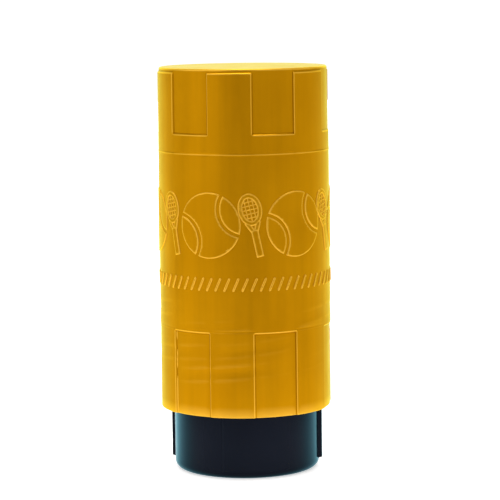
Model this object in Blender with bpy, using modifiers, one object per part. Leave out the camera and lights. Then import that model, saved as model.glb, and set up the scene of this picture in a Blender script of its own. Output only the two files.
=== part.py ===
"""Screw-down pressure can for three tennis balls.

A tall cap screws down over an open-topped container.  Two rubber rings near the container's rim seal
against the smooth upper bore of the cap, so screwing the cap down squeezes the air around the balls.
A coarse two-start thread joins the two: ridges inside the lower half of the cap run between ridges on
the outside of the container.  The can stands on z = 0 with its axis on the z axis, cap screwed down.
"""

import math

import bmesh
import bpy

# Driving sizes, in metres.
CAN_HEIGHT = 0.2175
CAP_TOP_RADIUS = 0.0458      # the cap widens a little towards its mouth, as moulded parts do
CAP_MOUTH_RADIUS = 0.0462
MOUTH_Z = 0.0342             # open lower edge of the cap
CONTAINER_BORE_RADIUS = 0.0363
THREAD_LEAD = 0.024          # rise of the cap in one turn
THREAD_STARTS = 2

# How finely round shapes are divided.
SEGMENTS = 48
FACET = math.tau / SEGMENTS
TOUCH_GAP = 0.0003           # space left between pieces that touch
SHARP_ANGLE = math.radians(30)

# Seal: a rubber ring of round section between the container's groove and the cap's upper bore.
RING_SECTION = 0.0026
SEAL_BORE_RADIUS = 0.0412
RING_OUTER_RADIUS = SEAL_BORE_RADIUS - TOUCH_GAP
GROOVE_RADIUS = RING_OUTER_RADIUS - RING_SECTION - TOUCH_GAP
GROOVE_WIDTH = RING_SECTION + 2 * TOUCH_GAP
RING_HEIGHTS = {"seal_ring_upper": 0.2087, "seal_ring_lower": 0.2027}

# Thread: radii of the four cylinders it lies between, and the ridges' widths.
PITCH = THREAD_LEAD / THREAD_STARTS
CONTAINER_ROOT_RADIUS = 0.0402
CAP_CREST_RADIUS = 0.0414
CONTAINER_CREST_RADIUS = 0.0428
CAP_ROOT_RADIUS = 0.0432
FLANK_SLOPE = 0.45           # how much a ridge widens on each side per unit of its height
FLANK_GAP = 0.0004
CONTAINER_CREST_WIDTH = 0.0045
RIDGE_ROOT = 0.0006          # how far a ridge runs into the wall that carries it
CONTAINER_THREAD_Z = 0.047
CONTAINER_THREAD_TURN = 160 * FACET
CAP_THREAD_Z = 0.050
CAP_THREAD_TURN = 84 * FACET
THREAD_ANGLE = FACET / 2

# Cap.
CAP_TOP_THICKNESS = 0.0033
CEILING_Z = CAN_HEIGHT - CAP_TOP_THICKNESS
CEILING_FILLET = 0.0012
TOP_BAND_HEIGHT = 0.0022     # plain band above the upper slots, as deep as they are
TOP_FILLET = 0.001
MOUTH_CHAMFER = 0.0006
LEAD_IN_Z = 0.132            # where the wide lower bore starts to narrow to the seal bore
LEAD_IN_LENGTH = 0.003

# Grip slots, six round the top of the cap and six round its mouth.
SLOT_COUNT = 6
SLOT_DEPTH = 0.0008
SLOT_TURN = 4 * FACET
SLOT_START = math.radians(5.8)
SLOT_OVERRUN = 0.002         # how far a slot's cutter passes the cap's surface
UPPER_SLOT_Z = 0.1833
LOWER_SLOT_TOP_Z = 0.0788
TOP_BAND_RADIUS = CAP_TOP_RADIUS - SLOT_DEPTH - 0.0002

# Container.
RIM_Z = CEILING_Z - TOUCH_GAP
RIM_CHAMFER = 0.0012
LAND_RADIUS = 0.0405         # thickened rim that carries the rings
LAND_Z = 0.1987
FLOOR_THICKNESS = 0.0034
FLOOR_FILLET = 0.003
BASE_RADIUS = 0.0392         # the part of the container that shows under the cap
BASE_FILLET = 0.0045
SHOULDER_Z = 0.040
FOOT_INNER_RADIUS = 0.0315
FOOT_RECESS = 0.001

# Upright grip ribs on the container's base, on opposite sides.
RIB_COUNT = 2
RIB_START = math.radians(-7.5)
RIB_WIDTH = 0.0032
RIB_HEIGHT = 0.0019
RIB_BOTTOM_Z = 0.0047
RIB_TOP_Z = 0.0370
RIB_ROOT = 0.001             # how far a rib's block runs into the wall

YELLOW = (0.80, 0.43, 0.015, 1)
BLACK = (0.012, 0.014, 0.022, 1)
RUBBER = (0.02, 0.02, 0.02, 1)


def clear_scene():
    for leftover in list(bpy.data.objects):
        bpy.data.objects.remove(leftover)


def make_collection(name):
    collection = bpy.data.collections.new(name)
    bpy.context.scene.collection.children.link(collection)
    return collection


def make_material(name, colour, roughness):
    material = bpy.data.materials.new(name)
    material.use_nodes = True
    shader = material.node_tree.nodes["Principled BSDF"]
    shader.inputs["Base Color"].default_value = colour
    shader.inputs["Roughness"].default_value = roughness
    shader.inputs["Metallic"].default_value = 0
    material.diffuse_color = colour
    return material


def arc(centre_radius, centre_z, size, first_degrees, last_degrees, steps=4):
    """Points (radius, z) along a round edge of a turned profile."""
    points = []
    for step in range(steps + 1):
        angle = math.radians(first_degrees + (last_degrees - first_degrees) * step / steps)
        points.append((centre_radius + size * math.cos(angle), centre_z + size * math.sin(angle)))
    return points


def outline_object(name, outline, closed, collection):
    """A wire of points (radius, z) in the plane of the x and z axes."""
    count = len(outline)
    edges = [(i, i + 1) for i in range(count - 1)]
    if closed:
        edges.append((count - 1, 0))
    mesh = bpy.data.meshes.new(name)
    mesh.from_pydata([(radius, 0, z) for radius, z in outline], edges, [])
    wire = bpy.data.objects.new(name, mesh)
    collection.objects.link(wire)
    return wire


def cap_radius(z):
    """Outer radius of the cap between its slots, at a height."""
    share = (z - MOUTH_Z) / (CAN_HEIGHT - MOUTH_Z)
    return CAP_MOUTH_RADIUS + share * (CAP_TOP_RADIUS - CAP_MOUTH_RADIUS)


def turned(name, profile, phase, collection):
    """A solid of revolution; its profile starts and ends on the axis and runs down the outside."""
    solid = outline_object(name, profile, False, collection)
    solid.rotation_euler.z = phase
    screw = solid.modifiers.new("turn", "SCREW")
    screw.steps = SEGMENTS
    screw.render_steps = SEGMENTS
    screw.use_merge_vertices = True
    screw.merge_threshold = 0.00001
    return solid


def freeze(solid):
    """Turns an object's modifiers into plain mesh, as it stands."""
    evaluated = solid.evaluated_get(bpy.context.evaluated_depsgraph_get())
    mesh = bpy.data.meshes.new_from_object(evaluated)
    solid.modifiers.clear()
    solid.data = mesh
    return mesh


def swept(name, outline, start, turn, rise, collection):
    """A closed outline carried round the axis from one angle through a turn, climbing as it goes."""
    solid = outline_object(name, outline, True, collection)
    solid.rotation_euler.z = start
    steps = round(turn / FACET)
    screw = solid.modifiers.new("sweep", "SCREW")
    screw.angle = turn
    screw.screw_offset = rise
    screw.steps = steps
    screw.render_steps = steps
    mesh = freeze(solid)
    shape = bmesh.new()
    shape.from_mesh(mesh)
    open_edges = [edge for edge in shape.edges if edge.is_boundary]
    bmesh.ops.holes_fill(shape, edges=open_edges, sides=len(outline))
    bmesh.ops.recalc_face_normals(shape, faces=shape.faces)
    shape.to_mesh(mesh)
    shape.free()
    return solid


def combine(solid, tool, operation):
    tool.hide_render = True
    tool.display_type = "WIRE"
    boolean = solid.modifiers.new(tool.name, "BOOLEAN")
    boolean.operation = operation
    boolean.solver = "EXACT"
    boolean.object = tool


def complete(solid, material):
    """Freezes a finished piece, shades it and gives it its material."""
    mesh = freeze(solid)
    mesh.shade_smooth()
    mesh.set_sharp_from_angle(angle=SHARP_ANGLE)
    mesh.materials.clear()
    mesh.materials.append(material)


def thread_ridge(name, crest_radius, crest_width, root_radius, z, start, turn, collection):
    """One ridge of the thread, from its crest to a little way inside the wall that carries it."""
    outward = math.copysign(1, root_radius - crest_radius)
    buried_radius = root_radius + outward * RIDGE_ROOT
    half_crest = crest_width / 2
    half_root = half_crest + FLANK_SLOPE * abs(buried_radius - crest_radius)
    outline = [
        (crest_radius, z + half_crest),
        (crest_radius, z - half_crest),
        (buried_radius, z - half_root),
        (buried_radius, z + half_root),
    ]
    rise = THREAD_LEAD * turn / math.tau
    return swept(name, outline, start, turn, rise, collection)


def cap_profile():
    band_z = CAN_HEIGHT - TOP_BAND_HEIGHT
    outside = [(0, CAN_HEIGHT)]
    outside += arc(TOP_BAND_RADIUS - TOP_FILLET, CAN_HEIGHT - TOP_FILLET, TOP_FILLET, 90, 0, 2)
    outside += [
        (TOP_BAND_RADIUS, band_z),
        (cap_radius(band_z), band_z),
        (CAP_MOUTH_RADIUS, MOUTH_Z + MOUTH_CHAMFER),
        (CAP_MOUTH_RADIUS - MOUTH_CHAMFER, MOUTH_Z),
    ]
    inside = [
        (CAP_ROOT_RADIUS + MOUTH_CHAMFER, MOUTH_Z),
        (CAP_ROOT_RADIUS, MOUTH_Z + MOUTH_CHAMFER),
        (CAP_ROOT_RADIUS, LEAD_IN_Z),
        (SEAL_BORE_RADIUS, LEAD_IN_Z + LEAD_IN_LENGTH),
        (SEAL_BORE_RADIUS, CEILING_Z - CEILING_FILLET),
        (SEAL_BORE_RADIUS - CEILING_FILLET, CEILING_Z),
        (0, CEILING_Z),
    ]
    return outside + inside


def grip_slots(prefix, bottom, top, collection):
    """Six cutters, each 30 degrees long, that sink a ring of slots into the cap's outside."""
    outline = [
        (cap_radius(top) + SLOT_OVERRUN, top),
        (cap_radius(bottom) + SLOT_OVERRUN, bottom),
        (cap_radius(bottom) - SLOT_DEPTH, bottom),
        (cap_radius(top) - SLOT_DEPTH, top),
    ]
    slots = []
    for index in range(SLOT_COUNT):
        start = SLOT_START + SLOT_TURN + index * math.tau / SLOT_COUNT
        slots.append(swept(f"{prefix}_{index + 1}", outline, start, SLOT_TURN, 0, collection))
    return slots


def outer_cap(parts, tools, material):
    """The cap: closed top, smooth seal bore above, thread ridges inside its lower half."""
    cap = turned("outer_cap", cap_profile(), SLOT_START + FACET / 2, parts)
    upper_slots = grip_slots("upper_slot", UPPER_SLOT_Z, CAN_HEIGHT - TOP_BAND_HEIGHT / 2, tools)
    lower_slots = grip_slots("lower_slot", MOUTH_Z - SLOT_OVERRUN, LOWER_SLOT_TOP_Z, tools)
    for slot in upper_slots + lower_slots:
        combine(cap, slot, "DIFFERENCE")
    # The cap's ridges lie half a pitch away from the container's, so each runs down a groove's middle.
    offset = CAP_THREAD_Z - CONTAINER_THREAD_Z - PITCH / 2
    start = THREAD_ANGLE + math.tau * offset / THREAD_LEAD
    shared_height = CONTAINER_CREST_RADIUS - CAP_CREST_RADIUS
    facing_width = CONTAINER_CREST_WIDTH + 2 * FLANK_SLOPE * shared_height
    crest_width = PITCH - facing_width - 2 * FLANK_GAP
    for index in range(THREAD_STARTS):
        ridge = thread_ridge(
            f"cap_ridge_{index + 1}",
            CAP_CREST_RADIUS,
            crest_width,
            CAP_ROOT_RADIUS,
            CAP_THREAD_Z,
            start + index * math.tau / THREAD_STARTS,
            CAP_THREAD_TURN,
            tools,
        )
        combine(cap, ridge, "UNION")
    complete(cap, material)


def ring_groove(z):
    """The groove of one seal ring in the container's profile, top to bottom."""
    half = GROOVE_WIDTH / 2
    return [
        (LAND_RADIUS, z + half),
        (GROOVE_RADIUS, z + half),
        (GROOVE_RADIUS, z - half),
        (LAND_RADIUS, z - half),
    ]


def container_profile():
    """Starts on the axis at the inside floor, so that it runs up the bore and down the outside."""
    inside = [(0, FLOOR_THICKNESS)]
    fillet_z = FLOOR_THICKNESS + FLOOR_FILLET
    inside += arc(CONTAINER_BORE_RADIUS - FLOOR_FILLET, fillet_z, FLOOR_FILLET, -90, 0, 3)
    inside += [
        (CONTAINER_BORE_RADIUS, RIM_Z - RIM_CHAMFER),
        (CONTAINER_BORE_RADIUS + RIM_CHAMFER / 2, RIM_Z),
    ]
    outside = [
        (LAND_RADIUS - RIM_CHAMFER, RIM_Z),
        (LAND_RADIUS, RIM_Z - RIM_CHAMFER),
    ]
    for z in sorted(RING_HEIGHTS.values(), reverse=True):
        outside += ring_groove(z)
    land_step = LAND_RADIUS - CONTAINER_ROOT_RADIUS
    outside += [
        (LAND_RADIUS, LAND_Z),
        (CONTAINER_ROOT_RADIUS, LAND_Z - land_step),
        (CONTAINER_ROOT_RADIUS, SHOULDER_Z),
        (BASE_RADIUS, SHOULDER_Z - (CONTAINER_ROOT_RADIUS - BASE_RADIUS)),
    ]
    outside += arc(BASE_RADIUS - BASE_FILLET, BASE_FILLET, BASE_FILLET, 0, -90, 4)
    foot = [
        (FOOT_INNER_RADIUS, 0),
        (FOOT_INNER_RADIUS - FOOT_RECESS, FOOT_RECESS),
        (0, FOOT_RECESS),
    ]
    return inside + outside + foot


def grip_rib(name, angle, collection):
    """An upright block that stands out of the base's wall."""
    depth = RIB_HEIGHT + RIB_ROOT
    bpy.ops.mesh.primitive_cube_add(size=1)
    rib = bpy.context.object
    rib.name = name
    for owner in list(rib.users_collection):
        owner.objects.unlink(rib)
    collection.objects.link(rib)
    middle = BASE_RADIUS + RIB_HEIGHT - depth / 2
    for vertex in rib.data.vertices:
        vertex.co.x = middle + vertex.co.x * depth
        vertex.co.y = vertex.co.y * RIB_WIDTH
        vertex.co.z = (RIB_BOTTOM_Z + RIB_TOP_Z) / 2 + vertex.co.z * (RIB_TOP_Z - RIB_BOTTOM_Z)
    rib.rotation_euler.z = angle
    return rib


def inner_container(parts, tools, material):
    """The container: open at the top, ring grooves at its rim, thread ridges, ribbed base."""
    container = turned("inner_container", container_profile(), 0, parts)
    for index in range(THREAD_STARTS):
        ridge = thread_ridge(
            f"container_ridge_{index + 1}",
            CONTAINER_CREST_RADIUS,
            CONTAINER_CREST_WIDTH,
            CONTAINER_ROOT_RADIUS,
            CONTAINER_THREAD_Z,
            THREAD_ANGLE + index * math.tau / THREAD_STARTS,
            CONTAINER_THREAD_TURN,
            tools,
        )
        combine(container, ridge, "UNION")
    for index in range(RIB_COUNT):
        rib = grip_rib(f"grip_rib_{index + 1}", RIB_START + index * math.tau / RIB_COUNT, tools)
        combine(container, rib, "UNION")
    complete(container, material)


def seal_ring(name, z, parts, material):
    """A rubber ring of round section, turning loose in its groove about the can's axis."""
    bpy.ops.mesh.primitive_torus_add(
        major_segments=SEGMENTS,
        minor_segments=10,
        major_radius=RING_OUTER_RADIUS - RING_SECTION / 2,
        minor_radius=RING_SECTION / 2,
        location=(0, 0, z),
    )
    ring = bpy.context.object
    ring.name = name
    for owner in list(ring.users_collection):
        owner.objects.unlink(ring)
    parts.objects.link(ring)
    complete(ring, material)


def main():
    clear_scene()
    parts = make_collection("tennis_ball_can")
    tools = make_collection("cutters")
    outer_cap(parts, tools, make_material("cap_yellow", YELLOW, 0.32))
    inner_container(parts, tools, make_material("container_black", BLACK, 0.22))
    rubber = make_material("seal_rubber", RUBBER, 0.6)
    for name, z in RING_HEIGHTS.items():
        seal_ring(name, z, parts, rubber)


main()
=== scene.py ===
"""Looks of the screw-down tennis ball can: fine moulded surfaces, plastic and rubber, and the studio.

Every shape is in metres in the CAD's frame, with the can's axis on the z axis and its foot on z = 0.
Angles are measured about the z axis from +X; the camera stands on the -Y side.
"""

import math

import bmesh
import bpy
import numpy as np
from mathutils import Matrix, Vector


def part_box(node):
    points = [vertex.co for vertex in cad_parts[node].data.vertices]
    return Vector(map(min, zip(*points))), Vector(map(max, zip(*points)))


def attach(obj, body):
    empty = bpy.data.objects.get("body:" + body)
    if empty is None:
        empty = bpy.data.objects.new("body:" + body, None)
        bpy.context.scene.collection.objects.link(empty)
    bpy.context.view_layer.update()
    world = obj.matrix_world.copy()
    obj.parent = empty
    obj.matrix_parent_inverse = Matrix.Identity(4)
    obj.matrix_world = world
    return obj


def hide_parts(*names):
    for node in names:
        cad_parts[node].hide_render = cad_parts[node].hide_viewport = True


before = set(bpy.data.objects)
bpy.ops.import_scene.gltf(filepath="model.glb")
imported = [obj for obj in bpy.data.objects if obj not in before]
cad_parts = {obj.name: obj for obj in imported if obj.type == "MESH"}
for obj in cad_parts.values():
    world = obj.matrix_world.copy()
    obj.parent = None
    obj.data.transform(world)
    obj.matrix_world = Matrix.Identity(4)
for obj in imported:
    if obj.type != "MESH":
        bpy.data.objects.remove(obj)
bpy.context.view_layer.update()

# The CAD's own places, read from the frame.
CAP_LOW, CAP_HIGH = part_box("outer_cap")
RIM_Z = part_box("inner_container")[1].z
TOP_Z = CAP_HIGH.z
MOUTH_Z = CAP_LOW.z

# Cap, outside.
CAP_TOP_RADIUS = 0.0458
CAP_MOUTH_RADIUS = 0.0462
SLOT_DEPTH = 0.0008
SLOT_START = math.radians(5.8)
SECTOR = math.radians(30)        # a slot and the raised stretch beside it are one sector each
UPPER_SLOT_Z = 0.1833
LOWER_SLOT_TOP_Z = 0.0788
TOP_BAND_Z = TOP_Z - 0.0022      # above it the cap is as narrow as in its slots
WALL_BLEND = 0.0012              # width of the rounded wall round a slot
TOP_EDGE = 0.0010
MOUTH_EDGE = 0.0006
RAISED_LINE_Z = 0.1729
RAISED_LINE_HEIGHT = 0.00014
RAISED_LINE_WIDTH = 0.00045
WITNESS_Z = 0.0800               # faint line left by the mould above the lower slots
WITNESS_DEPTH = 0.00006
SINK_DEPTH = 0.00018             # of the shallow sinks over the thread behind the wall
SINK_REACH = 0.0065
SINK_CLEARANCE = 0.0025          # the sinks fade out this near the lower slots' tops
SINK_ZONE = (0.0405, 0.103)      # heights with sinks

# Cap, inside.
CAP_ROOT_RADIUS = 0.0432
CAP_CREST_RADIUS = 0.0414
SEAL_BORE_RADIUS = 0.0412
LEAD_IN_Z = 0.132
LEAD_IN_LENGTH = 0.003
CEILING_Z = RIM_Z + 0.0003
CEILING_EDGE = 0.0012
CAP_THREAD_ZONE = (0.0438, 0.0985)   # heights of the rows that carry the thread

# Thread, shared by the cap and the container.
THREAD_LEAD = 0.024
THREAD_STARTS = 2
PITCH = THREAD_LEAD / THREAD_STARTS
FLANK_SLOPE = 0.45               # axial run of a flank for each metre of its height
FLANK_GAP = 0.0008               # axial play between the two threads
CREST_SOFTNESS = 0.00025         # half the width of a crest's rounded edge
CONTAINER_ROOT_RADIUS = 0.0402
CONTAINER_CREST_RADIUS = 0.0428
CONTAINER_CREST_WIDTH = 0.0045
CAP_CREST_WIDTH = PITCH - CONTAINER_CREST_WIDTH - FLANK_GAP - 2 * FLANK_SLOPE * (
    CONTAINER_CREST_RADIUS - CAP_CREST_RADIUS
)
CONTAINER_THREAD_Z = 0.047
CONTAINER_THREAD_TURN = math.radians(1200)
CONTAINER_THREAD_ANGLE = math.radians(3.75)
CAP_THREAD_Z = 0.050
CAP_THREAD_TURN = math.radians(630)
CAP_THREAD_ANGLE = CONTAINER_THREAD_ANGLE + math.tau * (
    CAP_THREAD_Z - CONTAINER_THREAD_Z - PITCH / 2
) / THREAD_LEAD
RIDGE_END = math.radians(5)      # a ridge rises from nothing over this angle

# Container.
BORE_RADIUS = 0.0363
BASE_RADIUS = 0.0392
LAND_RADIUS = 0.0405
LAND_Z = 0.1987                  # lower end of the plain land that carries the ring grooves
LAND_CHAMFER = 0.0006
SHOULDER_Z = 0.040
GROOVE_RADIUS = 0.0380
GROOVE_WIDTH = 0.0032
RING_SECTION = 0.0026
RING_OUTER_RADIUS = 0.0409
RING_HEIGHTS = {"seal_ring_upper": 0.2087, "seal_ring_lower": 0.2027}
FLOOR_Z = 0.0034
FLOOR_EDGE = 0.003
BASE_EDGE = 0.0045
RIM_BORE_EDGE = 0.0008
RIM_EDGE = 0.0012
GROOVE_EDGE = 0.0002
CONTAINER_THREAD_ZONE = (0.0425, 0.1315)
FOOT_INNER_RADIUS = 0.0315
FOOT_RECESS = 0.001
FOOT_EDGE = 0.0004
RIB_COUNT = 2
RIB_START = math.radians(-7.5)
RIB_WIDTH = 0.0032
RIB_HEIGHT = 0.0019
RIB_BOTTOM_Z = 0.0047
RIB_TOP_Z = 0.0370
RIB_SIDE = 0.0007                # width of the rounded wall at a rib's side
RIB_LOWER_END = 0.0006
RIB_UPPER_END = 0.0008
PARTING_ANGLE = math.radians(-109.5)   # the mould's parting line, on two opposite sides
PARTING_DEPTH = 0.00022
PARTING_WIDTH = 0.0004


# ---------------------------------------------------------------- shape helpers

ARC_STEPS = 6


def smooth(x):
    """0 below 0, 1 above 1, and an easy S between them."""
    x = np.clip(x, 0, 1)
    return x * x * (3 - 2 * x)


def hump(x, width):
    """1 at 0, falling away smoothly to both sides over about the width."""
    return np.exp(-((x / width) ** 2))


def cap_radius(z):
    """The cap's outer wall tapers a little towards its top."""
    share = (z - MOUTH_Z) / (TOP_Z - MOUTH_Z)
    return CAP_MOUTH_RADIUS + share * (CAP_TOP_RADIUS - CAP_MOUTH_RADIUS)


def spaced(first, last, step):
    """Evenly spaced values from first to last, both included, no further apart than step."""
    count = max(1, math.ceil(abs(last - first) / step))
    return [first + (last - first) * i / count for i in range(count + 1)]


def stations(first, last, step, fine_places, reach, fine_step):
    """Values from first to last, coarse on the whole and fine within reach of each fine place."""
    values = set(spaced(first, last, step))
    low, high = min(first, last), max(first, last)
    for place in fine_places:
        values = {v for v in values if abs(v - place) > reach or v in (first, last)}
    for place in fine_places:
        for value in spaced(place - reach, place + reach, fine_step):
            if low < value < high:
                values.add(value)
    values = sorted(values, reverse=last < first)
    kept = values[:1]
    for value in values[1:]:
        if abs(value - kept[-1]) > fine_step / 4:
            kept.append(value)
    return kept


def wall(radius, first, last, step):
    """Profile points (radius, z) up or down a straight wall."""
    return [(radius, z) for z in spaced(first, last, step)]


def arc(centre_radius, centre_z, size, first_degrees, last_degrees, steps=ARC_STEPS):
    """Profile points (radius, z) on an arc; 0 degrees faces outwards and 90 up."""
    points = []
    for step in range(steps + 1):
        angle = math.radians(first_degrees + (last_degrees - first_degrees) * step / steps)
        points.append((centre_radius + size * math.cos(angle), centre_z + size * math.sin(angle)))
    return points


def new_object(name, vertices, faces):
    mesh = bpy.data.meshes.new(name)
    mesh.from_pydata(vertices, [], faces)
    mesh.validate()
    made = bpy.data.objects.new(name, mesh)
    bpy.context.scene.collection.objects.link(made)
    return made


def lathe(name, rows, angles, relief):
    """A closed skin: rows (radius, z) turned through the angles, with relief added to the radius.

    The first and last rows lie on the axis.  relief(angle, radius, z, row) returns arrays.
    """
    count = len(angles)
    angle = np.array(angles)[None, :]
    radius = np.array([r for r, z in rows])[:, None] + np.zeros((1, count))
    height = np.array([z for r, z in rows])[:, None] + np.zeros((1, count))
    index = np.arange(len(rows))[:, None] + np.zeros((1, count), int)
    radius = radius + relief(angle + np.zeros_like(radius), radius, height, index)
    x = radius * np.cos(angle)
    y = radius * np.sin(angle)
    inner = np.stack([x, y, height], axis=-1)[1:-1].reshape(-1, 3)
    vertices = [(0, 0, rows[0][1])] + inner.tolist() + [(0, 0, rows[-1][1])]
    last = len(vertices) - 1
    faces = []
    for i in range(count):
        faces.append((0, 1 + i, 1 + (i + 1) % count))
    for row in range(len(rows) - 3):
        base = 1 + row * count
        for i in range(count):
            j = (i + 1) % count
            faces.append((base + i, base + count + i, base + count + j, base + j))
    base = last - count
    for i in range(count):
        faces.append((base + i, last, base + (i + 1) % count))
    return new_object(name, vertices, faces)


def shade(piece, material, sharp_degrees=40):
    """Smooth shading, with edges bent by more than sharp_degrees kept crisp."""
    piece.data.shade_smooth()
    piece.data.set_sharp_from_angle(angle=math.radians(sharp_degrees))
    piece.data.materials.clear()
    piece.data.materials.append(material)


def ridge_profile(offset, crest_width, height):
    """Height of a thread ridge at an axial offset from its middle, with softened edges."""
    half = crest_width / 2
    distance = np.abs(offset)
    slope = np.clip(height - (distance - half) / FLANK_SLOPE, 0, height)
    edge = np.clip((distance - half + CREST_SOFTNESS) / (2 * CREST_SOFTNESS), 0, 1)
    softened = np.minimum(slope, height - edge * edge * CREST_SOFTNESS)
    return np.where(distance < half + CREST_SOFTNESS, softened, slope)


def thread_height(angle, z, start, first_z, turn, crest_width, height):
    """Radial height of the two-start thread at each point."""
    total = np.zeros_like(z)
    for index in range(THREAD_STARTS):
        begin = start + index * math.tau / THREAD_STARTS
        local = np.mod(angle - begin, math.tau)
        climbed = first_z + THREAD_LEAD * local / math.tau
        turns = np.round((z - climbed) / THREAD_LEAD)
        offset = z - climbed - turns * THREAD_LEAD
        along = local + turns * math.tau
        fade = smooth(along / RIDGE_END) * smooth((turn - along) / RIDGE_END)
        total = np.maximum(total, ridge_profile(offset, crest_width, height) * fade)
    return total


# ---------------------------------------------------------------- materials


class Nodes:
    """Short names for the few shader nodes that the materials and the room share."""

    def __init__(self, tree, coordinates):
        self.tree = tree
        self.place = tree.nodes.new("ShaderNodeTexCoord").outputs[coordinates]

    def link(self, source, target):
        self.tree.links.new(source, target)

    def axes(self):
        """The x, y and z of the place."""
        node = self.tree.nodes.new("ShaderNodeSeparateXYZ")
        self.link(self.place, node.inputs[0])
        return tuple(node.outputs)

    def mapped(self, scale):
        node = self.tree.nodes.new("ShaderNodeMapping")
        node.inputs["Scale"].default_value = scale
        self.link(self.place, node.inputs["Vector"])
        return node.outputs["Vector"]

    def noise(self, scale, detail, vector=None):
        node = self.tree.nodes.new("ShaderNodeTexNoise")
        node.inputs["Scale"].default_value = scale
        node.inputs["Detail"].default_value = detail
        self.link(vector or self.place, node.inputs["Vector"])
        return node.outputs["Fac"]

    def ramp(self, factor, stops):
        node = self.tree.nodes.new("ShaderNodeValToRGB")
        ramp = node.color_ramp
        while len(ramp.elements) < len(stops):
            ramp.elements.new(0.5)
        for element, (place, colour) in zip(ramp.elements, stops):
            element.position = place
            element.color = (*colour, 1)
        self.link(factor, node.inputs["Fac"])
        return node.outputs["Color"]

    def mix(self, factor, first, second, blend="MIX"):
        node = self.tree.nodes.new("ShaderNodeMix")
        node.data_type = "RGBA"
        node.blend_type = blend
        if isinstance(factor, float):
            node.inputs[0].default_value = factor
        else:
            self.link(factor, node.inputs[0])
        self.link(first, node.inputs[6])
        self.link(second, node.inputs[7])
        return node.outputs[2]

    def plain(self, colour):
        """A layer's colour, to be mixed in by a mask."""
        node = self.tree.nodes.new("ShaderNodeRGB")
        node.outputs[0].default_value = (*colour, 1)
        return node.outputs[0]

    def remap(self, value, low, high, from_low=0.3, from_high=0.7, easing="LINEAR"):
        """From low to high as the value goes from from_low to from_high, and level past them."""
        node = self.tree.nodes.new("ShaderNodeMapRange")
        node.interpolation_type = easing
        node.inputs["From Min"].default_value = from_low
        node.inputs["From Max"].default_value = from_high
        node.inputs["To Min"].default_value = low
        node.inputs["To Max"].default_value = high
        self.link(value, node.inputs["Value"])
        return node.outputs["Result"]

    def maths(self, operation, first, second=0):
        node = self.tree.nodes.new("ShaderNodeMath")
        node.operation = operation
        for socket, value in zip(node.inputs, (first, second)):
            if isinstance(value, (int, float)):
                socket.default_value = value
            else:
                self.link(value, socket)
        return node.outputs[0]

    def edges(self, start, full):
        """0 on flat faces, rising to 1 where the surface bends by the given pointiness."""
        node = self.tree.nodes.new("ShaderNodeNewGeometry")
        return self.remap(node.outputs["Pointiness"], 0, 1, start, full)

    def bump(self, height, strength, distance, normal=None):
        node = self.tree.nodes.new("ShaderNodeBump")
        node.inputs["Strength"].default_value = strength
        node.inputs["Distance"].default_value = distance
        self.link(height, node.inputs["Height"])
        if normal is not None:
            self.link(normal, node.inputs["Normal"])
        return node.outputs["Normal"]


class Material(Nodes):
    """A new material's nodes, with its Principled shader."""

    def __init__(self, name):
        self.material = bpy.data.materials.new(name)
        self.material.use_nodes = True
        super().__init__(self.material.node_tree, "Object")
        self.shader = self.tree.nodes["Principled BSDF"]

    def into(self, socket, source):
        """Feeds one of the shader's sockets from a node."""
        self.link(source, self.shader.inputs[socket])

    def settings(self, values):
        """Sets the shader's sockets whose value is the same all over the surface."""
        for socket, value in values.items():
            self.shader.inputs[socket].default_value = value


def cap_plastic():
    """Golden-yellow moulded plastic: satin gloss, faint flow streaks, slight mottling, painted highlights
    along convex edges, painted shade in creases.
    """
    nodes = Material("cap_plastic")
    mottle = nodes.noise(22, 4)
    streaks = nodes.noise(160, 3, nodes.mapped((1, 1, 0.06)))
    body = nodes.ramp(mottle, [(0.35, (0.52, 0.222, 0.0012)), (0.65, (0.57, 0.250, 0.0018))])
    lit = nodes.ramp(streaks, [(0.30, (0.90, 0.90, 0.90)), (0.62, (1, 1, 1))])
    body = nodes.mix(1.0, body, lit, "MULTIPLY")
    # Painted highlight: convex edges, found by pointiness, are lightened to a pale orange as if they
    # caught the light.
    with_painted_edge_highlight = nodes.mix(nodes.edges(0.5035, 0.518), body, nodes.plain((0.82, 0.44, 0.040)))
    # Painted shade: concave creases and inner corners, found by pointiness, are darkened as if shaded.
    with_painted_crease_shade = nodes.mix(nodes.edges(0.4965, 0.480), with_painted_edge_highlight, nodes.plain((0.31, 0.120, 0.0008)))
    nodes.into("Base Color", with_painted_crease_shade)
    nodes.into("Roughness", nodes.remap(nodes.noise(75, 3), 0.28, 0.36, 0.2, 0.8))
    waves = nodes.bump(nodes.noise(28, 2), 0.35, 0.00025)
    nodes.into("Normal", nodes.bump(nodes.noise(2600, 2), 0.10, 0.00003, waves))
    nodes.settings({
        "Metallic": 0.65,
        "IOR": 1.10,
        "Specular Tint": (0.82, 1.0, 0.04, 1),
        "Sheen Weight": 0.12,
        "Sheen Roughness": 0.25,
        "Sheen Tint": (0.6, 1.0, 0.02, 1),
    })
    return nodes.material


def container_plastic():
    """Blue-black gloss plastic with a faint sheen of handling marks."""
    nodes = Material("container_plastic")
    cloud = nodes.noise(30, 4)
    body = nodes.ramp(cloud, [(0.35, (0.0052, 0.0048, 0.0090)), (0.65, (0.0066, 0.0062, 0.0115))])
    nodes.into("Base Color", body)
    nodes.into("Roughness", nodes.remap(nodes.noise(90, 1), 0.12, 0.26, 0, 1))
    waves = nodes.bump(nodes.noise(34, 2), 0.35, 0.0002)
    nodes.into("Normal", nodes.bump(nodes.noise(2400, 2), 0.10, 0.00003, waves))
    nodes.settings({
        "Metallic": 0.6,
        "IOR": 1.22,
        "Specular Tint": (0.35, 0.85, 1.0, 1),
        "Sheen Weight": 0.20,
        "Sheen Roughness": 0.15,
        "Sheen Tint": (0.35, 0.9, 1.0, 1),
    })
    return nodes.material


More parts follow.
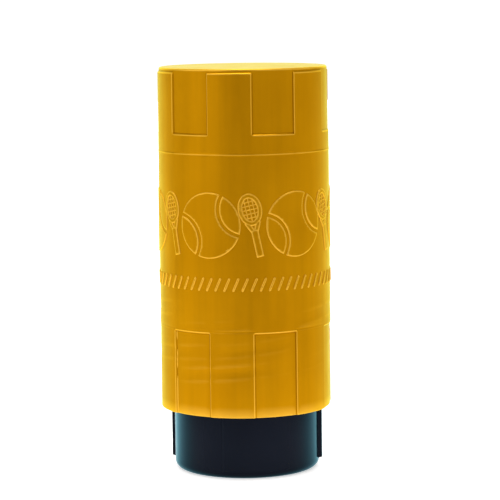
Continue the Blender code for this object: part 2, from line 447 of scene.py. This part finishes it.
def seal_rubber():
    """Soft black rubber, slightly greasy, with a fine matt grain."""
    nodes = Material("seal_rubber")
    cloud = nodes.noise(120, 3)
    body = nodes.ramp(cloud, [(0.35, (0.013, 0.013, 0.014)), (0.65, (0.026, 0.026, 0.027))])
    nodes.into("Base Color", body)
    nodes.into("Roughness", nodes.remap(nodes.noise(260, 3), 0.32, 0.6))
    nodes.into("Normal", nodes.bump(nodes.noise(1800, 2), 0.2, 0.00005))
    return nodes.material


# ---------------------------------------------------------------- cap

SMALLEST = 0.0001                # tells one radius from another
FLAT_MARGIN = 0.001              # a flat face's outermost ring of points lies this far inside its edge
COARSE_TURN = math.radians(2.2)
FINE_COLUMN = 0.00014            # spacing of the columns over an upright edge
FINE_ROW = 0.00016
SINK_ROW = 0.0012                # spacing of the rows where the sinks are
LOWER_EDGE_REACH = 0.0021        # the lower slots' upper edge keeps its fine rows this far each way


def cap_angles():
    edges = [SLOT_START + i * SECTOR for i in range(12)]
    reach = 0.75 * WALL_BLEND / CAP_TOP_RADIUS
    return stations(0, math.tau, COARSE_TURN, edges, reach, FINE_COLUMN / CAP_TOP_RADIUS)[:-1]


def slot_share(angle):
    """1 in the middle of a slot and 0 on the raised stretches, with the wall between them."""
    along = np.mod(angle - SLOT_START, 2 * SECTOR)
    centre_offset = np.abs(along - SECTOR * 1.5)
    distance = (SECTOR / 2 - centre_offset) * CAP_TOP_RADIUS
    return smooth(distance / WALL_BLEND + 0.5)


def cap_outside_relief(angle, z):
    """How far the cap's outside stands out from its plain taper."""
    slot = slot_share(angle)
    upper = smooth((z - UPPER_SLOT_Z) / WALL_BLEND + 0.5)
    lower = smooth((LOWER_SLOT_TOP_Z - z) / WALL_BLEND + 0.5)
    band = smooth((z - TOP_BAND_Z) / WALL_BLEND + 0.5)
    sunk = 1 - (1 - slot * upper) * (1 - slot * lower) * (1 - band)
    relief = RAISED_LINE_HEIGHT * hump(z - RAISED_LINE_Z, RAISED_LINE_WIDTH) - SLOT_DEPTH * sunk
    relief = relief - WITNESS_DEPTH * hump(z - WITNESS_Z, RAISED_LINE_WIDTH) * (1 - slot)
    # Shallow sinks over the thread ridges behind the wall, deeper in some places than in others.
    behind = thread_height(
        angle, z, CAP_THREAD_ANGLE, CAP_THREAD_Z, CAP_THREAD_TURN, CAP_CREST_WIDTH * 0.3, SINK_REACH
    )
    uneven = 0.50 + 0.40 * np.sin(2 * angle + 90 * z) + 0.30 * np.sin(5 * angle - 260 * z + 1.3)
    clear = 1 - hump(z - LOWER_SLOT_TOP_Z, SINK_CLEARANCE)
    return relief - SINK_DEPTH * np.clip(uneven, 0, 1) * clear * smooth(behind / SINK_REACH)


def cap_wall_heights(top):
    """Heights of the rows down the outside, closest at the edges of the slots and the raised line."""
    edges = [TOP_BAND_Z, UPPER_SLOT_Z, LOWER_SLOT_TOP_Z, RAISED_LINE_Z]
    heights = stations(top, MOUTH_Z + MOUTH_EDGE, 0.0045, edges, 1.9 * WALL_BLEND, FINE_ROW)
    low, high = SINK_ZONE
    kept = [z for z in heights if not low <= z <= high or abs(z - LOWER_SLOT_TOP_Z) < LOWER_EDGE_REACH]
    sink_zs = spaced(high, low, SINK_ROW)
    kept += [z for z in sink_zs if abs(z - LOWER_SLOT_TOP_Z) > LOWER_EDGE_REACH + SINK_ROW / 4]
    return sorted(kept, reverse=True)


def cap_rows():
    """(radius, z) from the top's centre down the outside and up the bore to the ceiling."""
    top_edge_radius = CAP_TOP_RADIUS - SLOT_DEPTH - TOP_EDGE
    rows = [(0, TOP_Z), (top_edge_radius - FLAT_MARGIN, TOP_Z)]
    # The top band's relief takes the slots' depth off these again.
    rows += arc(top_edge_radius + SLOT_DEPTH, TOP_Z - TOP_EDGE, TOP_EDGE, 90, 12)
    rows += [(cap_radius(z), z) for z in cap_wall_heights(rows[-1][1] - 0.0002)]
    outside_end = len(rows)
    rows += arc(CAP_MOUTH_RADIUS - MOUTH_EDGE, MOUTH_Z + MOUTH_EDGE, MOUTH_EDGE, -15, -90)
    mouth_end = len(rows)
    rows += arc(CAP_ROOT_RADIUS + MOUTH_EDGE, MOUTH_Z + MOUTH_EDGE, MOUTH_EDGE, -90, -180)
    low, high = CAP_THREAD_ZONE
    rows += wall(CAP_ROOT_RADIUS, MOUTH_Z + 0.002, low - 0.0003, 0.004)
    rows += wall(CAP_ROOT_RADIUS, low, high, 0.0008)
    rows += wall(CAP_ROOT_RADIUS, high + 0.0015, LEAD_IN_Z, 0.006)
    rows += wall(SEAL_BORE_RADIUS, LEAD_IN_Z + LEAD_IN_LENGTH, CEILING_Z - CEILING_EDGE, 0.008)
    ceiling_radius = SEAL_BORE_RADIUS - CEILING_EDGE
    rows += arc(ceiling_radius, CEILING_Z - CEILING_EDGE, CEILING_EDGE, 15, 90)
    rows += [(ceiling_radius - FLAT_MARGIN, CEILING_Z), (0, CEILING_Z)]
    return rows, outside_end, mouth_end


def cap_shell(material):
    rows, outside_end, mouth_end = cap_rows()

    def relief(angle, radius, z, row):
        outside = cap_outside_relief(angle, z)
        flat_top = (radius < CAP_TOP_RADIUS - SLOT_DEPTH - TOP_EDGE) & (z > TOP_BAND_Z)
        outside = np.where(flat_top, 0, outside)
        # The mouth's rounded edge carries the slots on towards the underside.
        mouth = outside * (radius > CAP_MOUTH_RADIUS - MOUTH_EDGE - SMALLEST)
        height = CAP_ROOT_RADIUS - CAP_CREST_RADIUS
        thread = thread_height(
            angle, z, CAP_THREAD_ANGLE, CAP_THREAD_Z, CAP_THREAD_TURN, CAP_CREST_WIDTH, height
        )
        inside = np.where(radius > CAP_ROOT_RADIUS - SMALLEST, -thread, 0)
        return np.select([row < outside_end, row < mouth_end], [outside, mouth], inside)

    cap = lathe("cap_shell", rows, cap_angles(), relief)
    shade(cap, material)
    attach(cap, "cap")
    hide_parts("outer_cap")


# ---------------------------------------------------------------- raised emblems on the cap

RELIEF_HEIGHT = 0.00042
RELIEF_ROUND = 0.0006            # width of the rounded edge
LAYER = 0.00003                  # the racket's parts differ this much in height
WRAP_STEP = 0.0007
EMBLEM_COUNT = 6
EMBLEM_Z = 0.1360
BALL_START = math.radians(-90 - 24)
BALL_TILT = math.radians(24)
BALL_RADIUS = 0.0168
SEAM_CENTRE = 0.0212
SEAM_RADIUS = 0.0142
SEAM_HALF_WIDTH = 0.0014
RACKET_HEAD = (0.0058, 0.0080)   # half its width and half its height
RACKET_HEAD_Y = 0.0086
RACKET_FRAME = 0.0014
RACKET_TILT = math.radians(12)
THROAT_START = 0.0012            # the throat's arms start inside the frame
THROAT_LENGTH = 0.0036
THROAT_HALF_WIDTH = 0.0007
THROAT_SPREAD = 0.52             # distance of an arm's start from the middle, in half heads
THROAT_END_X = 0.0008
HANDLE_START = 0.0032
HANDLE_END_Y = -0.0162
HANDLE_HALF_WIDTH = 0.0014
STRING_HALF_WIDTH = 0.00010
STRING_GAP = 0.0021
STRING_HEIGHT = 0.00026
STRING_ROUND = 0.00022
BAR_COUNT = 60
BAR_Z = 0.1050
BAR_LENGTH = 0.0070
BAR_WIDTH = 0.0005
BAR_ROUND = 0.0004
BAR_SLANT = math.radians(24)


def circle_arc(centre, radius, first, last, step=WRAP_STEP):
    """Points on an arc about (centre, 0)."""
    count = max(4, math.ceil(abs(last - first) * radius / step))
    points = []
    for i in range(count + 1):
        angle = first + (last - first) * i / count
        points.append((centre + radius * math.cos(angle), radius * math.sin(angle)))
    return points


def crossing(seam_radius):
    """Where a seam's edge meets the ball's outline: its angle from the ball's and the seam's centres."""
    x = (BALL_RADIUS**2 - seam_radius**2 + SEAM_CENTRE**2) / (2 * SEAM_CENTRE)
    y = math.sqrt(BALL_RADIUS**2 - x**2)
    return math.atan2(y, x), math.atan2(y, x - SEAM_CENTRE)


def ball_outlines():
    """The three raised fields of a tennis ball: a lens on either side and the band between them."""
    inner, outer = SEAM_RADIUS - SEAM_HALF_WIDTH, SEAM_RADIUS + SEAM_HALF_WIDTH
    ball_angle, seam_angle = crossing(inner)
    lens = circle_arc(0, BALL_RADIUS, -ball_angle, ball_angle)
    lens += circle_arc(SEAM_CENTRE, inner, seam_angle, math.tau - seam_angle)[1:-1]
    ball_angle, seam_angle = crossing(outer)
    right = circle_arc(SEAM_CENTRE, outer, seam_angle, math.tau - seam_angle)
    band = circle_arc(0, BALL_RADIUS, ball_angle, math.pi - ball_angle)
    band += [(-x, y) for x, y in right[1:-1]]
    band += circle_arc(0, BALL_RADIUS, math.pi + ball_angle, math.tau - ball_angle)
    band += right[::-1][1:-1]
    return [lens, [(-x, y) for x, y in lens], band]


def oval(half_width, half_height, centre_y, count=44):
    points = []
    for i in range(count):
        angle = math.tau * i / count
        points.append((half_width * math.cos(angle), centre_y + half_height * math.sin(angle)))
    return points


def strip(x0, y0, x1, y1, half):
    """A narrow straight bar between two points."""
    length = math.hypot(x1 - x0, y1 - y0)
    side_x = -(y1 - y0) / length * half
    side_y = (x1 - x0) / length * half
    start = [(x0 + side_x, y0 + side_y), (x0 - side_x, y0 - side_y)]
    end = [(x1 - side_x, y1 - side_y), (x1 + side_x, y1 + side_y)]
    return start + end


def racket_outlines():
    """A racket's frame, its two throat arms and its handle."""
    wide, tall = RACKET_HEAD
    rim = oval(wide, tall, RACKET_HEAD_Y)
    hole = oval(wide - RACKET_FRAME, tall - RACKET_FRAME, RACKET_HEAD_Y)
    bottom = RACKET_HEAD_Y - tall
    arms = []
    for side in (-1, 1):
        x0, x1 = side * wide * THROAT_SPREAD, side * THROAT_END_X
        arms.append(strip(x0, bottom + THROAT_START, x1, bottom - THROAT_LENGTH, THROAT_HALF_WIDTH))
    handle = strip(0, bottom - HANDLE_START, 0, HANDLE_END_Y, HANDLE_HALF_WIDTH)
    return [rim, hole], arms, [handle]


def string_outlines():
    """Three strings along the racket and five across it, up to the middle of its frame."""
    wide, tall = RACKET_HEAD[0] - RACKET_FRAME / 2, RACKET_HEAD[1] - RACKET_FRAME / 2
    strings = []
    for i in range(-1, 2):
        x = i * STRING_GAP
        reach = tall * math.sqrt(1 - (x / wide) ** 2)
        strings.append(strip(x, RACKET_HEAD_Y - reach, x, RACKET_HEAD_Y + reach, STRING_HALF_WIDTH))
    for i in range(-2, 3):
        reach = wide * math.sqrt(1 - (i * STRING_GAP / tall) ** 2)
        y = RACKET_HEAD_Y + i * STRING_GAP
        strings.append(strip(-reach, y, reach, y, STRING_HALF_WIDTH))
    return strings


def bar_outline():
    """An upright bar with round ends."""
    half = BAR_LENGTH / 2 - BAR_WIDTH / 2
    end = circle_arc(0, BAR_WIDTH / 2, 0, math.pi, 0.0003)
    upper = [(x, y + half) for x, y in end]
    lower = [(-x, -y - half) for x, y in end]
    return [upper + lower]


def raised_shape(outlines, tilt, height=RELIEF_HEIGHT, rounding=RELIEF_ROUND):
    """Flat closed outlines made solid, with rounded edges, as (points, faces) about the plane z = 0."""
    curve = bpy.data.curves.new("outline", "CURVE")
    curve.dimensions = "2D"
    curve.fill_mode = "BOTH"
    curve.bevel_depth = rounding
    curve.bevel_resolution = 2
    for outline in outlines:
        spline = curve.splines.new("POLY")
        spline.points.add(len(outline) - 1)
        for point, (x, y) in zip(spline.points, outline):
            turned_x = x * math.cos(tilt) - y * math.sin(tilt)
            turned_y = x * math.sin(tilt) + y * math.cos(tilt)
            point.co = (turned_x, turned_y, 0, 1)
        spline.use_cyclic_u = True
    holder = bpy.data.objects.new("outline", curve)
    bpy.context.scene.collection.objects.link(holder)
    evaluated = holder.evaluated_get(bpy.context.evaluated_depsgraph_get())
    mesh = bpy.data.meshes.new_from_object(evaluated)
    bpy.data.objects.remove(holder)
    shape = bmesh.new()
    shape.from_mesh(mesh)
    bmesh.ops.remove_doubles(shape, verts=shape.verts, dist=0.00001)
    for vertex in shape.verts:
        vertex.co.z *= height / rounding
    # A grid of cuts lets the flat face follow the cap's curve and keeps its edges apart from its middle.
    for axis in (Vector((1, 0, 0)), Vector((0, 1, 0))):
        places = [vertex.co.dot(axis) for vertex in shape.verts]
        for place in np.arange(min(places) + WRAP_STEP, max(places), WRAP_STEP):
            cut = list(shape.verts) + list(shape.edges) + list(shape.faces)
            bmesh.ops.bisect_plane(shape, geom=cut, dist=0.000001, plane_co=axis * place, plane_no=axis)
    bmesh.ops.remove_doubles(shape, verts=shape.verts, dist=rounding * 0.23)
    shape.verts.index_update()
    points = [tuple(v.co) for v in shape.verts]
    faces = [[v.index for v in face.verts] for face in shape.faces]
    shape.free()
    return points, faces


def wrapped(name, shapes, places, material):
    """Copies of flat shapes wrapped round the cap at (angle, z) places, as one object."""
    vertices = []
    faces = []
    for angle, z in places:
        for points, loops in shapes:
            first = len(vertices)
            for x, y, lift in points:
                height = z + y
                radius = cap_radius(height) + lift
                turn = angle + x / cap_radius(height)
                vertices.append((radius * math.cos(turn), radius * math.sin(turn), height))
            faces += [[first + i for i in loop] for loop in loops]
    made = new_object(name, vertices, faces)
    shade(made, material, 50)
    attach(made, "cap")


def emblems(material):
    """Generic relief: tennis balls and rackets in turn round the cap, and slanted bars below."""
    turn = math.tau / EMBLEM_COUNT
    balls = [(BALL_START + i * turn, EMBLEM_Z) for i in range(EMBLEM_COUNT)]
    wrapped("cap_balls", [raised_shape(ball_outlines(), BALL_TILT)], balls, material)
    frame, arms, handle = racket_outlines()
    shapes = [raised_shape(frame, RACKET_TILT)]
    shapes += [raised_shape([arm], RACKET_TILT, RELIEF_HEIGHT - LAYER) for arm in arms]
    shapes += [raised_shape(handle, RACKET_TILT, RELIEF_HEIGHT + LAYER)]
    for line in string_outlines():
        shapes.append(raised_shape([line], RACKET_TILT, STRING_HEIGHT, STRING_ROUND))
    rackets = [(BALL_START + (i + 0.5) * turn, EMBLEM_Z) for i in range(EMBLEM_COUNT)]
    wrapped("cap_rackets", shapes, rackets, material)
    bars = [(i * math.tau / BAR_COUNT, BAR_Z) for i in range(BAR_COUNT)]
    bar = raised_shape(bar_outline(), -BAR_SLANT, RELIEF_HEIGHT, BAR_ROUND)
    wrapped("cap_bars", [bar], bars, material)


# ---------------------------------------------------------------- container

EDGE_REACH = 0.00075             # fine columns this far each way from a rib's side or the parting line


def container_angles():
    edges = [PARTING_ANGLE, PARTING_ANGLE + math.pi]
    half = RIB_WIDTH / 2 / BASE_RADIUS
    for index in range(RIB_COUNT):
        middle = RIB_START + index * math.tau / RIB_COUNT
        edges += [middle - half, middle + half]
    edges = [angle % math.tau for angle in edges]
    reach = EDGE_REACH / BASE_RADIUS
    return stations(0, math.tau, COARSE_TURN, edges, reach, FINE_COLUMN / BASE_RADIUS)[:-1]


def rib_height(angle, z):
    along = np.mod(angle - RIB_START + math.pi / RIB_COUNT, math.tau / RIB_COUNT) - math.pi / RIB_COUNT
    across = (RIB_WIDTH / 2 - np.abs(along) * BASE_RADIUS) / RIB_SIDE + 0.5
    # The lower end is rounded down into the wall.
    lower = (z - RIB_BOTTOM_Z) / RIB_LOWER_END
    upper = (RIB_TOP_Z - z) / RIB_UPPER_END + 0.5
    return RIB_HEIGHT * smooth(across) * smooth(lower) * smooth(upper)


def parting_line(angle):
    """Depth of the fine upright line that the mould's two halves leave."""
    along = np.mod(angle - PARTING_ANGLE + math.pi / 2, math.pi) - math.pi / 2
    return PARTING_DEPTH * hump(along * BASE_RADIUS, PARTING_WIDTH)


def groove_rows(z):
    """A seal ring's groove, from its upper edge to its lower one, with a small rounding at each corner."""
    top = z + GROOVE_WIDTH / 2
    bottom = z - GROOVE_WIDTH / 2
    rows = arc(LAND_RADIUS - GROOVE_EDGE, top + GROOVE_EDGE, GROOVE_EDGE, 0, -90, 3)
    rows += [(GROOVE_RADIUS + GROOVE_EDGE, top), (GROOVE_RADIUS, top - GROOVE_EDGE)]
    rows += [(GROOVE_RADIUS, bottom + GROOVE_EDGE), (GROOVE_RADIUS + GROOVE_EDGE, bottom)]
    rows += arc(LAND_RADIUS - GROOVE_EDGE, bottom - GROOVE_EDGE, GROOVE_EDGE, 90, 0, 3)
    return rows


def container_rows():
    """(radius, z) from the inside floor up the bore, over the rim and down the outside.

    Also the first row and the end of the thread's rows and of the base wall's.
    """
    floor_radius = BORE_RADIUS - FLOOR_EDGE
    rows = [(0, FLOOR_Z), (floor_radius - FLAT_MARGIN, FLOOR_Z)]
    rows += arc(floor_radius, FLOOR_Z + FLOOR_EDGE, FLOOR_EDGE, -90, 0)
    rows += wall(BORE_RADIUS, FLOOR_Z + FLOOR_EDGE + 0.006, RIM_Z - 0.004, 0.012)
    rows += arc(BORE_RADIUS + RIM_BORE_EDGE, RIM_Z - RIM_BORE_EDGE, RIM_BORE_EDGE, 180, 90)
    rows += arc(LAND_RADIUS - RIM_EDGE, RIM_Z - RIM_EDGE, RIM_EDGE, 90, 0)
    for z in sorted(RING_HEIGHTS.values(), reverse=True):
        rows += groove_rows(z)
    low, high = CONTAINER_THREAD_ZONE
    rows += [(LAND_RADIUS, LAND_Z), (CONTAINER_ROOT_RADIUS, LAND_Z - LAND_CHAMFER)]
    rows += wall(CONTAINER_ROOT_RADIUS, LAND_Z - 0.004, high + 0.001, 0.008)
    thread_start = len(rows)
    rows += wall(CONTAINER_ROOT_RADIUS, high, low, 0.0005)
    thread_end = len(rows)
    # A 45-degree shoulder leads in from the thread's root to the narrower base.
    shoulder_foot_z = SHOULDER_Z - (CONTAINER_ROOT_RADIUS - BASE_RADIUS)
    rows += [(CONTAINER_ROOT_RADIUS, SHOULDER_Z), (BASE_RADIUS, shoulder_foot_z)]
    base_start = len(rows)
    edges = [RIB_TOP_Z, RIB_BOTTOM_Z + 0.0003]
    base_zs = stations(SHOULDER_Z - 0.0021, BASE_EDGE, 0.003, edges, 0.0009, 0.00018)
    rows += [(BASE_RADIUS, z) for z in base_zs]
    base_end = len(rows)
    rows += arc(BASE_RADIUS - BASE_EDGE, BASE_EDGE, BASE_EDGE, -8, -90, 9)
    rows += arc(FOOT_INNER_RADIUS + FOOT_EDGE, FOOT_EDGE, FOOT_EDGE, -90, -150, 3)
    rows += [(FOOT_INNER_RADIUS - 0.0006, FOOT_RECESS - 0.0002)]
    rows += [(FOOT_INNER_RADIUS - 0.0010, FOOT_RECESS), (0, FOOT_RECESS)]
    return rows, (thread_start, thread_end), (base_start, base_end)


def container_shell(material):
    rows, thread_rows, base_rows = container_rows()

    def relief(angle, radius, z, row):
        height = CONTAINER_CREST_RADIUS - CONTAINER_ROOT_RADIUS
        thread = thread_height(
            angle,
            z,
            CONTAINER_THREAD_ANGLE,
            CONTAINER_THREAD_Z,
            CONTAINER_THREAD_TURN,
            CONTAINER_CREST_WIDTH,
            height,
        )
        on_thread = (row >= thread_rows[0]) & (row < thread_rows[1])
        on_base = (row >= base_rows[0]) & (row < base_rows[1])
        base = rib_height(angle, z) - parting_line(angle)
        return np.where(on_thread, thread, 0) + np.where(on_base, base, 0)

    container = lathe("container_shell", rows, container_angles(), relief)
    shade(container, material)
    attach(container, "container")
    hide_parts("inner_container")


RING_AROUND = 180
RING_ACROSS = 28
FLASH_HEIGHT = 0.00005
FLASH_SPREAD = 0.12              # sine of the angle over which the flash falls away


def seal_ring(node, z, material):
    """An O-ring with the thin parting line that its mould leaves on the inner and outer edge."""
    middle = RING_OUTER_RADIUS - RING_SECTION / 2
    vertices = []
    for i in range(RING_AROUND):
        turn = math.tau * i / RING_AROUND
        for j in range(RING_ACROSS):
            angle = math.tau * j / RING_ACROSS
            flash = FLASH_HEIGHT * hump(math.sin(angle), FLASH_SPREAD)
            size = RING_SECTION / 2 - FLASH_HEIGHT + flash
            radius = middle + size * math.cos(angle)
            height = z + size * math.sin(angle)
            vertices.append((radius * math.cos(turn), radius * math.sin(turn), height))
    faces = []
    for i in range(RING_AROUND):
        here, ahead = i * RING_ACROSS, (i + 1) % RING_AROUND * RING_ACROSS
        for j in range(RING_ACROSS):
            k = (j + 1) % RING_ACROSS
            faces.append((here + j, ahead + j, ahead + k, here + k))
    ring = new_object(node + "_skin", vertices, faces)
    shade(ring, material, 60)
    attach(ring, "seals")
    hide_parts(node)


# ---------------------------------------------------------------- studio

CAMERA_PLACE = (0.00279, -1.2572, 0.2644)
CAMERA_PITCH = math.radians(6.64)
CAMERA_ROLL = math.radians(0.70)
CAMERA_LENS = 168.54


def make_camera():
    data = bpy.data.cameras.new("camera")
    data.sensor_width = 36
    data.lens = CAMERA_LENS
    data.clip_start = 0.05
    data.clip_end = 30
    camera = bpy.data.objects.new("camera", data)
    bpy.context.scene.collection.objects.link(camera)
    look = Matrix.Rotation(math.pi / 2 - CAMERA_PITCH, 4, "X") @ Matrix.Rotation(-CAMERA_ROLL, 4, "Z")
    camera.matrix_world = Matrix.Translation(CAMERA_PLACE) @ look
    bpy.context.scene.camera = camera


# Brightness of the room by azimuth, in degrees from the camera's side, positive towards +X.  The walls
# beside and before the can give its sides their pale and dark upright bands.
BACK = 1.08
CORNER = 1.75                    # the two back corners, out of the camera's view
ROOM = [
    (-180, BACK), (-168, BACK), (-160, CORNER), (-140, CORNER), (-126, 0.55), (-114, 0.44), (-100, 0.84),
    (-84, 1.31), (-66, 1.56), (-48, 1.54), (-30, 1.14), (-17, 0.34), (-4, 0.29), (18, 0.74), (33, 0.90),
    (47, 0.77), (62, 0.88), (79, 1.06), (95, 0.94), (108, 0.76), (118, 0.56), (132, 0.40), (145, CORNER),
    (160, CORNER), (168, BACK), (180, BACK),
]
UPPER_BACK = 1.85                # the wall behind the can is brighter above the camera's view
UPPER_RISE = (0.01, 0.09)        # z of the direction where the walls pass into their upper part
ROOM_TOP = 0.42
TOP_RISE = (0.45, 0.85)          # and where they pass into the ceiling


def make_world():
    """A room whose brightness follows the direction that is looked in."""
    world = bpy.data.worlds.new("studio")
    bpy.context.scene.world = world
    world.use_nodes = True
    nodes = Nodes(world.node_tree, "Generated")
    x, y, z = nodes.axes()
    azimuth = nodes.maths("ARCTAN2", x, nodes.maths("MULTIPLY", y, -1))
    share = nodes.maths("ADD", nodes.maths("DIVIDE", azimuth, math.tau), 0.5)

    def around(levels):
        return nodes.ramp(share, [(degrees / 360 + 0.5, (level,) * 3) for degrees, level in levels])

    def rising(limits):
        return nodes.remap(z, 0, 1, *limits, easing="SMOOTHSTEP")

    upper = [(degrees, UPPER_BACK if level in (BACK, CORNER) else level) for degrees, level in ROOM]
    walls = nodes.mix(rising(UPPER_RISE), around(ROOM), around(upper))
    light = nodes.mix(rising(TOP_RISE), walls, nodes.plain((ROOM_TOP,) * 3))
    nodes.link(light, nodes.tree.nodes["Background"].inputs["Color"])


# The floor is a light table: a strip of it glows under and behind the can, widening to the back.
FLOOR_HALF = 5.0
FLOOR_BACK = 3.8
GLOW = 0.56
GLOW_FRONT = (-0.26, -0.10)      # y where the strip's front edge fades in
GLOW_SIDE = (0.15, 0.22)         # |x| where its sides fade out, beside the can
GLOW_WIDENING = 0.125            # growth of that for each metre to the back
FAR_GLOW = 0.88                  # added towards the floor's far end
FAR_GLOW_FRONT = (0.25, 0.90)


def make_floor():
    """A broad pale floor that runs out of sight behind the can."""
    front = [(-FLOOR_HALF, -FLOOR_HALF, 0), (FLOOR_HALF, -FLOOR_HALF, 0)]
    back = [(FLOOR_HALF, FLOOR_BACK, 0), (-FLOOR_HALF, FLOOR_BACK, 0)]
    floor = new_object("floor", front + back, [(0, 1, 2, 3)])
    nodes = Material("floor_paper")
    tone = nodes.ramp(nodes.noise(3, 2), [(0.3, (0.93, 0.93, 0.93)), (0.7, (0.95, 0.95, 0.95))])
    nodes.into("Base Color", tone)
    nodes.settings({"Roughness": 0.9})
    x, y = nodes.axes()[:2]
    away = nodes.maths("ADD", nodes.maths("ABSOLUTE", x), nodes.maths("MULTIPLY", y, -GLOW_WIDENING))
    strip_mask = nodes.remap(away, 1, 0, *GLOW_SIDE)
    near = nodes.maths("MULTIPLY", nodes.remap(y, 0, GLOW, *GLOW_FRONT), strip_mask)
    far = nodes.remap(y, 0, FAR_GLOW, *FAR_GLOW_FRONT)
    nodes.into("Emission Strength", nodes.maths("ADD", near, far))
    floor.data.materials.append(nodes.material)


LAMP_SIZE = (1.7, 4.8)
LAMP_PLACE = (0, 2.1, 1.5)
LAMP_POWER = 19.9
LAMP_SPREAD = math.radians(60)


def make_lamp():
    """A large soft lamp overhead and behind the can, facing straight down."""
    data = bpy.data.lights.new("ceiling_box", "AREA")
    data.shape = "RECTANGLE"
    data.size, data.size_y = LAMP_SIZE
    data.energy = LAMP_POWER
    data.spread = LAMP_SPREAD
    lamp = bpy.data.objects.new("ceiling_box", data)
    lamp.location = LAMP_PLACE
    lamp.visible_camera = False
    bpy.context.scene.collection.objects.link(lamp)


def make_studio():
    make_camera()
    make_world()
    make_floor()
    make_lamp()
    bpy.context.scene.view_settings.view_transform = "Standard"


# ---------------------------------------------------------------- all of it

make_studio()
yellow = cap_plastic()
cap_shell(yellow)
emblems(yellow)
container_shell(container_plastic())
rubber = seal_rubber()
for node, ring_z in RING_HEIGHTS.items():
    seal_ring(node, ring_z, rubber)
